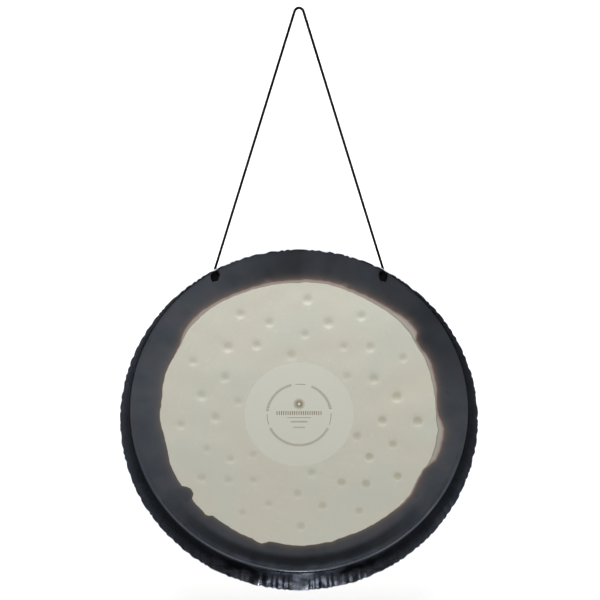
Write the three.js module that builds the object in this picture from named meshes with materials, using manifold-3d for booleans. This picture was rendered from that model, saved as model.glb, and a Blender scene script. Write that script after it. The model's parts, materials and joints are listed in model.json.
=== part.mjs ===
// A tam tam gong on its cord. The gong is one sheet of nickel silver: a flat, faintly crowned face and a
// deep turned rim that flares a little. A black cord passes through two holes in the rim, is knotted inside
// the hollow at both ends, and hangs on a hook by its bight.
//
// Millimetres, +Z up. The origin is the hang point: the inside of the top of the bight, on the hook.
// The gong's axis is parallel to Y, its hollow opens towards -Y, and the plane y = 0 holds the whole cord.
import * as THREE from "three";
import { mergeVertices } from "three/addons/utils/BufferGeometryUtils.js";
import Module from "manifold-3d";

const wasm = await Module();
wasm.setup();

// Gong sheet. Radii and depths are those of the middle of the sheet.
const RIM_RADIUS = 405.2; // at the rim's free edge
const FOLD_RADIUS = 393; // where the face's plane and the rim meet
const RIM_DEPTH = 72; // from the face's plane to the free edge
const FACE_CROWN = 3; // the face's middle stands this far out, away from the hollow
const FACE_SHEET = 1.2;
const RIM_SHEET = 1.6;
const FOLD_BEND = 7; // bend radius of the fold
const AROUND = 96; // segments round the gong

// Cord holes in the rim
const HOLE_REACH = 190; // from the gong's middle plane x = 0 to each hole
const HOLE_DEPTH = 14; // from the face's plane to the holes
const HOLE_RADIUS = 6;

// Cord
const CORD_RADIUS = 2.5;
const BIGHT_BEND = 10; // bend radius of the cord's middle line over the hook
const BIGHT_TAIL = 9; // straight stretch of the bight's solid below its bend, on each side
const HANG_DROP = 920; // from the hang point down to the gong's middle
const CORD_SIDES = 10;
const CORD_STEP = 15; // along a leg
const GAP = 0.3; // between solids that touch

// Stopper knots, measured straight down from the hole's middle
const KNOT_HALF_LENGTH = 12.5;
const KNOT_HALF_WIDTH = 9.5;
const KNOT_MIDDLE = 16;

// Finishes
const silverMetal = new THREE.MeshStandardMaterial({ color: 0xc4c2b4, roughness: 0.35, metalness: 1 });
const blackCord = new THREE.MeshStandardMaterial({ color: 0x0b0b0c, roughness: 0.85, metalness: 0 });

/** A closed geometry as a manifold-3d solid. */
function solidOf(geometry, matrix = new THREE.Matrix4()) {
  const bare = geometry.clone().applyMatrix4(matrix);
  bare.deleteAttribute("normal");
  bare.deleteAttribute("uv");
  const merged = mergeVertices(bare, 1e-4);
  return new wasm.Manifold(
    new wasm.Mesh({
      numProp: 3,
      vertProperties: new Float32Array(merged.attributes.position.array),
      triVerts: new Uint32Array(merged.index.array),
    }),
  );
}

/** A manifold-3d solid as a three.js geometry. */
function geometryOf(solid) {
  const mesh = solid.getMesh();
  const geometry = new THREE.BufferGeometry();
  geometry.setAttribute("position", new THREE.BufferAttribute(new Float32Array(mesh.vertProperties), 3));
  geometry.setIndex(new THREE.BufferAttribute(new Uint32Array(mesh.triVerts), 1));
  geometry.computeVertexNormals();
  return geometry;
}

function namedMesh(name, geometry, material) {
  const mesh = new THREE.Mesh(geometry, material.clone());
  mesh.name = name;
  return mesh;
}

// The hang plane's holes and the straight cord legs

const flare = Math.atan2(RIM_RADIUS - FOLD_RADIUS, RIM_DEPTH);
const holeRadiusFromAxis = FOLD_RADIUS + HOLE_DEPTH * Math.tan(flare);
const holeHeight = Math.sqrt(holeRadiusFromAxis ** 2 - HOLE_REACH ** 2);
const holeZ = holeHeight - HANG_DROP;

const bendCentreZ = CORD_RADIUS - BIGHT_BEND;
const reachFromBend = Math.hypot(HOLE_REACH, holeZ - bendCentreZ);
const legLean = Math.atan2(HOLE_REACH, bendCentreZ - holeZ) - Math.asin(BIGHT_BEND / reachFromBend);

/** The leg's direction down the cord. side is -1 on the left and 1 on the right. */
function legDirection(side) {
  return new THREE.Vector3(side * Math.sin(legLean), 0, -Math.cos(legLean));
}

/** Middle of the rim hole, on the axis that the gong tilts about. */
function holeMiddle(side) {
  return new THREE.Vector3(side * HOLE_REACH, 0, holeZ);
}

/** The point where the bight's bend becomes the straight leg. */
function legTop(side) {
  return new THREE.Vector3(
    side * BIGHT_BEND * Math.cos(legLean),
    0,
    bendCentreZ + BIGHT_BEND * Math.sin(legLean),
  );
}

// Gong

/** Half section of the sheet's middle line as [radius, depth out of the face's plane, sheet thickness]. */
function sheetLine() {
  const line = [];
  const tangentLength = FOLD_BEND * Math.tan((Math.PI / 2 - flare) / 2);
  const flatRadius = FOLD_RADIUS - tangentLength;
  for (const share of [0, 0.3, 0.55, 0.75, 0.9, 1]) {
    line.push([share * flatRadius, -FACE_CROWN * (1 - share ** 2), FACE_SHEET]);
  }
  const bendSteps = 4;
  for (let i = 1; i <= bendSteps; i++) {
    const turn = (i / bendSteps) * (Math.PI / 2 - flare);
    const thickness = THREE.MathUtils.lerp(FACE_SHEET, RIM_SHEET, i / bendSteps);
    line.push([
      flatRadius + FOLD_BEND * Math.sin(turn),
      FOLD_BEND * (1 - Math.cos(turn)),
      thickness,
    ]);
  }
  line.push([(FOLD_RADIUS + RIM_RADIUS) / 2, RIM_DEPTH / 2, RIM_SHEET]);
  line.push([RIM_RADIUS, RIM_DEPTH, RIM_SHEET]);
  return line;
}

/** The middle line moved sideways by half the thickness: side 1 is the outside, -1 the hollow's side. */
function sheetSurface(line, side) {
  return line.map(([radius, depth, thickness], i) => {
    const before = line[Math.max(i - 1, 0)];
    const after = line[Math.min(i + 1, line.length - 1)];
    const along = new THREE.Vector2(after[0] - before[0], after[1] - before[1]).normalize();
    const offset = (side * thickness) / 2;
    const outwards = i === 0 ? new THREE.Vector2(0, -1) : new THREE.Vector2(along.y, -along.x);
    return new THREE.Vector2(radius + outwards.x * offset, depth + outwards.y * offset);
  });
}

function makeGongPlate() {
  const line = sheetLine();
  const outside = sheetSurface(line, 1);
  const hollowSide = sheetSurface(line, -1).reverse();
  const profile = [...outside, ...hollowSide].map((p) => new THREE.Vector2(p.x, HOLE_DEPTH - p.y));
  let plate = solidOf(
    new THREE.LatheGeometry(profile.reverse(), AROUND),
    new THREE.Matrix4().makeTranslation(0, 0, -HANG_DROP),
  );
  for (const side of [-1, 1]) {
    const radial = new THREE.Vector3(side * HOLE_REACH, 0, holeHeight).normalize();
    const through = radial.multiplyScalar(Math.cos(flare)).setY(Math.sin(flare));
    const turn = new THREE.Quaternion().setFromUnitVectors(new THREE.Vector3(0, 1, 0), through);
    const place = new THREE.Matrix4().compose(holeMiddle(side), turn, new THREE.Vector3(1, 1, 1));
    const drill = new THREE.CylinderGeometry(HOLE_RADIUS, HOLE_RADIUS, 10 * RIM_SHEET, 24);
    plate = plate.subtract(solidOf(drill, place));
  }
  return namedMesh("gong_plate", geometryOf(plate), silverMetal);
}

// Cord

function cordSection() {
  const section = new THREE.Shape();
  for (let i = 0; i < CORD_SIDES; i++) {
    const angle = (i / CORD_SIDES) * 2 * Math.PI;
    const x = CORD_RADIUS * Math.cos(angle);
    const y = CORD_RADIUS * Math.sin(angle);
    if (i === 0) section.moveTo(x, y);
    else section.lineTo(x, y);
  }
  section.closePath();
  return section;
}

/** The cord's turn over the hook, with a short straight stretch on each side. */
function makeBight() {
  const points = [];
  const left = legTop(-1);
  const bendSteps = 10;
  const tailShares = [1, 0.5];
  for (const share of tailShares) {
    points.push(left.clone().addScaledVector(legDirection(-1), share * BIGHT_TAIL));
  }
  for (let i = 0; i <= bendSteps; i++) {
    const angle = Math.PI - legLean - (i / bendSteps) * (Math.PI - 2 * legLean);
    const x = BIGHT_BEND * Math.cos(angle);
    points.push(new THREE.Vector3(x, 0, bendCentreZ + BIGHT_BEND * Math.sin(angle)));
  }
  for (const share of tailShares.reverse()) {
    points.push(legTop(1).addScaledVector(legDirection(1), share * BIGHT_TAIL));
  }
  const path = new THREE.CatmullRomCurve3(points, false, "centripetal");
  const geometry = new THREE.ExtrudeGeometry(cordSection(), {
    steps: 16,
    bevelEnabled: false,
    extrudePath: path,
  });
  return namedMesh("cord_bight", geometry, blackCord);
}

/** A solid of revolution round the direction up, with the profile's zero height at the origin point. */
function turnedPiece(name, profile, sides, origin, up) {
  const mesh = namedMesh(name, new THREE.LatheGeometry(profile, sides), blackCord);
  mesh.quaternion.setFromUnitVectors(new THREE.Vector3(0, 1, 0), up);
  mesh.position.copy(origin);
  return mesh;
}

/** One straight leg. Its lower end is a half ball round the hole's middle, so that it turns there freely. */
function makeLeg(name, side) {
  const bottom = holeMiddle(side);
  const length = bottom.distanceTo(legTop(side)) - BIGHT_TAIL - GAP;
  const profile = [];
  const ballSteps = 4;
  for (let i = 0; i <= ballSteps; i++) {
    const angle = (i / ballSteps) * (Math.PI / 2);
    profile.push(new THREE.Vector2(CORD_RADIUS * Math.sin(angle), -CORD_RADIUS * Math.cos(angle)));
  }
  const steps = Math.round(length / CORD_STEP);
  for (let i = 1; i <= steps; i++) {
    profile.push(new THREE.Vector2(CORD_RADIUS, (i / steps) * length));
  }
  profile.push(new THREE.Vector2(0, length));
  return turnedPiece(name, profile, CORD_SIDES, bottom, legDirection(side).negate());
}

/** One stopper knot hanging below its hole, as a plain egg with a neck where the cord comes in. */
function makeKnot(name, side) {
  const profile = [];
  const eggSteps = 8;
  const neckTop = -(CORD_RADIUS + GAP);
  for (let i = 0; i < eggSteps; i++) {
    const angle = (i / eggSteps) * Math.PI;
    const radius = i === 0 ? 0 : KNOT_HALF_WIDTH * Math.sin(angle);
    profile.push(new THREE.Vector2(radius, -KNOT_MIDDLE - KNOT_HALF_LENGTH * Math.cos(angle)));
  }
  profile.push(new THREE.Vector2(CORD_RADIUS, -KNOT_MIDDLE + KNOT_HALF_LENGTH));
  profile.push(new THREE.Vector2(CORD_RADIUS, neckTop));
  profile.push(new THREE.Vector2(0, neckTop));
  return turnedPiece(name, profile, 2 * CORD_SIDES, holeMiddle(side), new THREE.Vector3(0, 0, 1));
}

const gong = new THREE.Group();
gong.add(makeGongPlate(), makeKnot("left_knot", -1), makeKnot("right_knot", 1));

const sling = new THREE.Group();
sling.add(makeLeg("left_cord_leg", -1), makeLeg("right_cord_leg", 1));

const assembly = new THREE.Group();
assembly.add(makeBight(), sling, gong);

export default assembly;
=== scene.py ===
"""A hanging tam tam gong: the hammered metal shell, its printed centre, the braided cord and its knots.

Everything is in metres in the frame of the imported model. The origin is the hang point, +Z is up, and the
gong's hollow opens towards -Y. A "clock" is an angle round the gong, from 0 at the top, growing to the
right for someone who looks into the hollow.
"""

import json
import logging
import math
from dataclasses import dataclass, field
from enum import Enum
from typing import Callable, Iterable, Sequence

import bmesh
import bpy
import numpy as np
from mathutils import Matrix, Vector
from mathutils.geometry import delaunay_2d_cdt


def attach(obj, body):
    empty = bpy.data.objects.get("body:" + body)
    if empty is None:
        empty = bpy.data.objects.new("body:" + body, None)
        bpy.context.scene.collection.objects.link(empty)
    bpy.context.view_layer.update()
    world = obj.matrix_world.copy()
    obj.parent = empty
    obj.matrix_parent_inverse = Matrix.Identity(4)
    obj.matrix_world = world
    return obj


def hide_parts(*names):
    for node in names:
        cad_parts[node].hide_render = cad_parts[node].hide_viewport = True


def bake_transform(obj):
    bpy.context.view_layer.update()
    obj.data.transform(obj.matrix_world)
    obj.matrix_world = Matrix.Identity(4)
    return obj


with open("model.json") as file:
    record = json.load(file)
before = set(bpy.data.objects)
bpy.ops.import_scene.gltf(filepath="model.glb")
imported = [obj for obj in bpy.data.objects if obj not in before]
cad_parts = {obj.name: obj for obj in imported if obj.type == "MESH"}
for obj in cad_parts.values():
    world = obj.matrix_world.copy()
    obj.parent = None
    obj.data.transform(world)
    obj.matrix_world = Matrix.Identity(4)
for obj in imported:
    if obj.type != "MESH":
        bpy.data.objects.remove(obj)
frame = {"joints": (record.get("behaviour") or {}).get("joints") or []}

LOG = logging.getLogger("gong")
MM = 0.001
BUMP_REACH = 0.4 * MM
METAL_SHARP_DEGREES = 42.0
CORD_SHARP_DEGREES = 60.0
WORLD_STRENGTH = 0.56

Colour = tuple[float, float, float]


class Body(str, Enum):
    """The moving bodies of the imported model."""

    HOOK_BIGHT = "hook_bight"
    SLING = "sling"
    GONG = "gong"


class Slot(str, Enum):
    """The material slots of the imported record."""

    METAL = "nickel_silver"
    CORD = "black_cord"


class Side(float, Enum):
    """Left and right for someone who looks into the hollow."""

    LEFT = -1.0
    RIGHT = 1.0


# Node trees


class Wire:
    """A node's output socket that takes part in sums like a number."""

    def __init__(self, graph: "Graph", socket: bpy.types.NodeSocket) -> None:
        """Hold a socket and the graph that it belongs to."""
        self.graph, self.socket = graph, socket

    @staticmethod
    def operator(operation: str, swapped: bool = False) -> Callable[["Wire", "Value"], "Wire"]:
        """Return a method that writes a Math node; swapped puts the other value first."""

        def method(self: "Wire", other: "Value" = 0.0) -> "Wire":
            """Write the node."""
            return self.graph.math(operation, *((other, self) if swapped else (self, other)))

        return method


for _sign, _operation in (("add", "ADD"), ("sub", "SUBTRACT"), ("mul", "MULTIPLY"), ("truediv", "DIVIDE"),
                          ("pow", "POWER")):
    setattr(Wire, f"__{_sign}__", Wire.operator(_operation))
    setattr(Wire, f"__r{_sign}__", Wire.operator(_operation, swapped=True))
Wire.__abs__ = Wire.operator("ABSOLUTE")

Value = float | Wire


class Graph:
    """A node tree with short calls for the nodes that are written most."""

    def __init__(self, tree: bpy.types.NodeTree) -> None:
        """Hold the shader or geometry node tree to write in."""
        self.tree = tree

    def node(self, kind: str, inputs: dict | None = None, **settings: object) -> bpy.types.Node:
        """Add one node.

        Args:
            kind: The node's type name.
            inputs: Socket name or number to a value or to the wire that feeds it.
            **settings: Properties of the node itself.

        Returns:
            The new node.
        """
        made = self.tree.nodes.new(kind)
        for name, value in settings.items():
            setattr(made, name, value)
        for key, value in (inputs or {}).items():
            self.feed(made.inputs[key], value)
        return made

    def out(self, kind: str, inputs: dict | None = None, output: int | str = 0, **settings: object) -> Wire:
        """Add one node and return one of its outputs."""
        return Wire(self, self.node(kind, inputs, **settings).outputs[output])

    def feed(self, socket: bpy.types.NodeSocket, value: object) -> None:
        """Give an input socket its value: a wire to link, or a plain value."""
        if isinstance(value, Wire):
            self.tree.links.new(value.socket, socket)
        else:
            socket.default_value = value

    def math(self, operation: str, *values: Value, clamp: bool = False) -> Wire:
        """Return the result of a Math node on the values."""
        return self.out("ShaderNodeMath", dict(enumerate(values)), operation=operation, use_clamp=clamp)

    def steer(self, operation: str, *vectors: object, output: int | str = 0) -> Wire:
        """Return the result of a Vector Math node on the vectors."""
        return self.out("ShaderNodeVectorMath", dict(enumerate(vectors)), output, operation=operation)

    def scaled(self, vector: Wire, factor: Value) -> Wire:
        """Return the vector times the factor."""
        return self.out("ShaderNodeVectorMath", {0: vector, "Scale": factor}, operation="SCALE")

    def split(self, vector: Wire) -> list[Wire]:
        """Return a vector's x, y and z."""
        return [Wire(self, axis) for axis in self.node("ShaderNodeSeparateXYZ", {0: vector}).outputs]

    def vector(self, x: Value = 0.0, y: Value = 0.0, z: Value = 0.0) -> Wire:
        """Return a vector made of three values."""
        return self.out("ShaderNodeCombineXYZ", {0: x, 1: y, 2: z})

    def named(self, name: str) -> Wire:
        """Return a mesh attribute's value, for a shader."""
        return self.out("ShaderNodeAttribute", output="Fac", attribute_name=name)

    def smooth(self, value: Value, low: Value, high: Value) -> Wire:
        """Return a smooth step from 0 at low to 1 at high."""
        inputs = {"Value": value, "From Min": low, "From Max": high}
        return self.out("ShaderNodeMapRange", inputs, interpolation_type="SMOOTHSTEP")

    def between(self, value: Value, low: float, high: float, soft: float) -> Wire:
        """Return 1 where the value lies between low and high, with edges soft wide."""
        rise = self.smooth(value, low - soft, low + soft)
        fall = self.smooth(value, high - soft, high + soft)
        return self.math("SUBTRACT", rise, fall, clamp=True)

    def blend(self, factor: Value, first: object, second: object, how: str = "MIX") -> Wire:
        """Return a colour mix of first and second."""
        pair = [(*value, 1.0) if isinstance(value, tuple) else value for value in (first, second)]
        inputs = {0: factor, 6: pair[0], 7: pair[1]}
        return self.out("ShaderNodeMix", inputs, 2, data_type="RGBA", blend_type=how)

    def dim(self, colour: Wire, level: Wire) -> Wire:
        """Return the colour times a brightness."""
        return self.blend(1.0, colour, self.vector(level, level, level), how="MULTIPLY")

    def noise(self, vector: Wire, scale: float, detail: float = 2.0, rough: float = 0.5) -> Wire:
        """Return the value of a noise texture, about 0.5 in the middle."""
        inputs = {"Vector": vector, "Scale": scale, "Detail": detail, "Roughness": rough}
        return self.out("ShaderNodeTexNoise", inputs)


class GeometryTree(Graph):
    """A geometry node group with named inputs, written by a function and run on one object."""

    KINDS = {
        float: "NodeSocketFloat",
        int: "NodeSocketInt",
        bool: "NodeSocketBool",
        bpy.types.Object: "NodeSocketObject",
        bpy.types.Material: "NodeSocketMaterial",
    }

    def __init__(self, name: str, inputs: dict[str, type]) -> None:
        """Make an empty group with these inputs, each a name and its type."""
        tree = bpy.data.node_groups.new(name, "GeometryNodeTree")
        super().__init__(tree)
        tree.interface.new_socket("Geometry", in_out="OUTPUT", socket_type="NodeSocketGeometry")
        tree.interface.new_socket("Geometry", in_out="INPUT", socket_type="NodeSocketGeometry")
        for label, kind in inputs.items():
            tree.interface.new_socket(label, in_out="INPUT", socket_type=self.KINDS[kind])
        sockets = self.node("NodeGroupInput").outputs
        self.given = {label: Wire(self, sockets[label]) for label in ("Geometry", *inputs)}
        self.made = self.node("NodeGroupOutput").inputs

    def named(self, name: str) -> Wire:
        """Return a mesh attribute's value, for a geometry tree."""
        return self.out("GeometryNodeInputNamedAttribute", {"Name": name}, data_type="FLOAT")

    def store(self, geometry: Wire, name: str, value: Wire) -> Wire:
        """Return the geometry with a named value on its points."""
        inputs = {"Geometry": geometry, "Name": name, "Value": value}
        return self.out("GeometryNodeStoreNamedAttribute", inputs, data_type="FLOAT", domain="POINT")

    def move(self, geometry: Wire, offset: Wire) -> Wire:
        """Return the geometry with its points moved."""
        return self.out("GeometryNodeSetPosition", {"Geometry": geometry, "Offset": offset})

    def end(self, geometry: Wire, material: Wire) -> None:
        """Close the tree with Realize Instances and Set Material on what it has made."""
        real = self.out("GeometryNodeRealizeInstances", {0: geometry})
        self.feed(self.made[0], self.out("GeometryNodeSetMaterial", {"Geometry": real, "Material": material}))

    def run(self, obj: bpy.types.Object, values: dict[str, object]) -> bpy.types.Mesh:
        """Run the tree on an object with these input values and return a plain mesh."""
        modifier = obj.modifiers.new(self.tree.name, "NODES")
        modifier.node_group = self.tree
        for item in self.tree.interface.items_tree:
            if item.in_out == "INPUT" and item.name in values:
                modifier[item.identifier] = values[item.name]
        obj.update_tag()
        mesh = evaluated_mesh(obj)
        obj.modifiers.remove(modifier)
        return mesh


def evaluated_mesh(obj: bpy.types.Object) -> bpy.types.Mesh:
    """Return a plain mesh of an object with its modifiers applied."""
    depsgraph = bpy.context.evaluated_depsgraph_get()
    depsgraph.update()
    return bpy.data.meshes.new_from_object(obj.evaluated_get(depsgraph), depsgraph=depsgraph)


def link_object(name: str, data: bpy.types.ID) -> bpy.types.Object:
    """Return a new object with this data, linked to the scene at the origin."""
    obj = bpy.data.objects.new(name, data)
    bpy.context.scene.collection.objects.link(obj)
    return obj


def new_mesh(name: str, vertices: list, faces: Sequence = (), **values: Sequence[float]) -> bpy.types.Mesh:
    """Return a new mesh, with the values on its points as attributes."""
    mesh = bpy.data.meshes.new(name)
    mesh.from_pydata(vertices, [], faces)
    for label, numbers in values.items():
        mesh.attributes.new(label, "FLOAT", "POINT").data.foreach_set("value", numbers)
    return mesh


def dress(mesh: bpy.types.Mesh, *materials: bpy.types.Material) -> None:
    """Give a mesh these materials and no others."""
    mesh.materials.clear()
    for material in materials:
        mesh.materials.append(material)


def tilt_height() -> float:
    """Return the height of the line that the gong tilts on, through its two cord holes."""
    return next(joint for joint in frame["joints"] if joint["name"] == "gong_tilt")["pos_m"][2]


def circle(count: int, radius: float, first: float = 0.0) -> list[tuple[float, float]]:
    """Return points round a circle as x and z, clockwise from the top; first is in steps."""
    turns = [2 * math.pi * (step + first) / count for step in range(count)]
    return [(radius * math.sin(turn), radius * math.cos(turn)) for turn in turns]


def smooth_shading(mesh: bpy.types.Mesh, sharp_degrees: float) -> None:
    """Shade a mesh smooth, with sharp edges where it turns more than an angle."""
    work = bmesh.new()
    work.from_mesh(mesh)
    limit = math.radians(sharp_degrees)
    for face in work.faces:
        face.smooth = True
    for edge in work.edges:
        edge.smooth = len(edge.link_faces) == 2 and edge.calc_face_angle(0.0) < limit
    work.to_mesh(mesh)
    work.free()


# Finishes


class Surface(Graph):
    """A new material's node tree and its Principled shader."""

    def __init__(self, name: str, uniform: dict[str, float]) -> None:
        """Make the material; uniform holds the shader's own values that are the same all over."""
        self.material = bpy.data.materials.new(name)
        self.material.use_nodes = True
        super().__init__(self.material.node_tree)
        self.shader = self.tree.nodes["Principled BSDF"]
        for label, value in uniform.items():
            self.shader.inputs[label].default_value = value
        self.spot = self.out("ShaderNodeTexCoord", output="Object")

    def finish(self, **inputs: Value) -> bpy.types.Material:
        """Feed the shader's inputs, with _ for a space in a name, and return the material."""
        for label, value in inputs.items():
            self.feed(self.shader.inputs[label.replace("_", " ")], value)
        return self.material

    def relief(self, height: Wire, strength: float) -> Wire:
        """Return a normal bumped by the height, where 1 stands for BUMP_REACH."""
        return self.out("ShaderNodeBump", {"Strength": strength, "Distance": BUMP_REACH, "Height": height})


@dataclass(frozen=True)
class ClockCurve:
    """A value that changes round the gong, in thousandths.

    Attributes:
        span: What the curve's 1 adds to its 0.
        points: Clock in degrees and value.
        base: The value that the curve's 0 stands for.
    """

    span: float
    points: tuple[tuple[float, float], ...]
    base: float = 0.0

    def at(self, graph: Graph, turn: Wire) -> Wire:
        """Write the curve.

        Args:
            graph: The tree to write in.
            turn: The clock as a share of a full turn.

        Returns:
            The value there, in whole units.
        """
        made = graph.node("ShaderNodeFloatCurve", {"Value": turn})
        line = made.mapping.curves[0]
        closed = [*self.points, (360.0, self.points[0][1])]
        places = [(clock / 360.0, (value - self.base) / self.span) for clock, value in closed]
        line.points[0].location, line.points[-1].location = places[0], places[-1]
        for place in places[1:-1]:
            line.points.new(*place)
        made.mapping.extend = "HORIZONTAL"
        made.mapping.update()
        return Wire(graph, made.outputs[0]) * (self.span * MM) + self.base * MM


@dataclass(frozen=True)
class BurntEdge:
    """The torch-burnt line where the brushed silver middle ends.

    Attributes:
        silver: Radius of the silver's edge.
        halo: Width of the pale halo outside it.
        tone: How bright the border is round the gong, about 1; darkest at the top.
        rim_tone: The same for the rim, brightest at the bottom as a painted reflection.
    """

    silver: ClockCurve = ClockCurve(50.0, (
        (0, 314), (12, 317), (25, 315), (40, 319), (52, 321), (57, 317), (66, 319), (76, 317), (91, 318),
        (97, 325), (110, 326), (116, 319), (122, 321), (130, 326), (141, 324), (152, 322), (163, 321),
        (166, 325), (169, 323), (180, 325), (192, 322), (196, 332), (199, 327), (206, 325), (219, 322),
        (222, 331), (224, 328), (229, 328), (232, 315), (235, 313), (238, 326), (248, 324), (260, 318),
        (268, 323), (277, 320), (288, 323), (300, 319), (309, 325), (318, 325), (330, 320), (342, 316),
    ), base=300.0)
    halo: ClockCurve = ClockCurve(20.0, (
        (0, 7), (20, 7), (40, 9), (53, 15), (57, 5), (66, 9), (76, 9), (86, 4), (92, 12), (100, 15),
        (109, 12), (116, 3), (126, 4), (136, 2), (145, 0), (290, 0), (302, 3), (315, 8), (328, 6), (345, 6),
    ))
    tone: ClockCurve = ClockCurve(1600.0, (
        (0, 380), (20, 560), (45, 480), (75, 640), (105, 960), (135, 960), (180, 740), (225, 860),
        (270, 1000), (300, 980), (325, 800), (348, 520),
    ))
    # Painted reflection: the rim is made brightest at the bottom.
    rim_tone: ClockCurve = ClockCurve(1600.0, (
        (0, 800), (50, 600), (95, 440), (130, 740), (152, 950), (168, 1060), (192, 1060), (208, 950),
        (230, 900), (300, 900),
    ))


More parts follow.
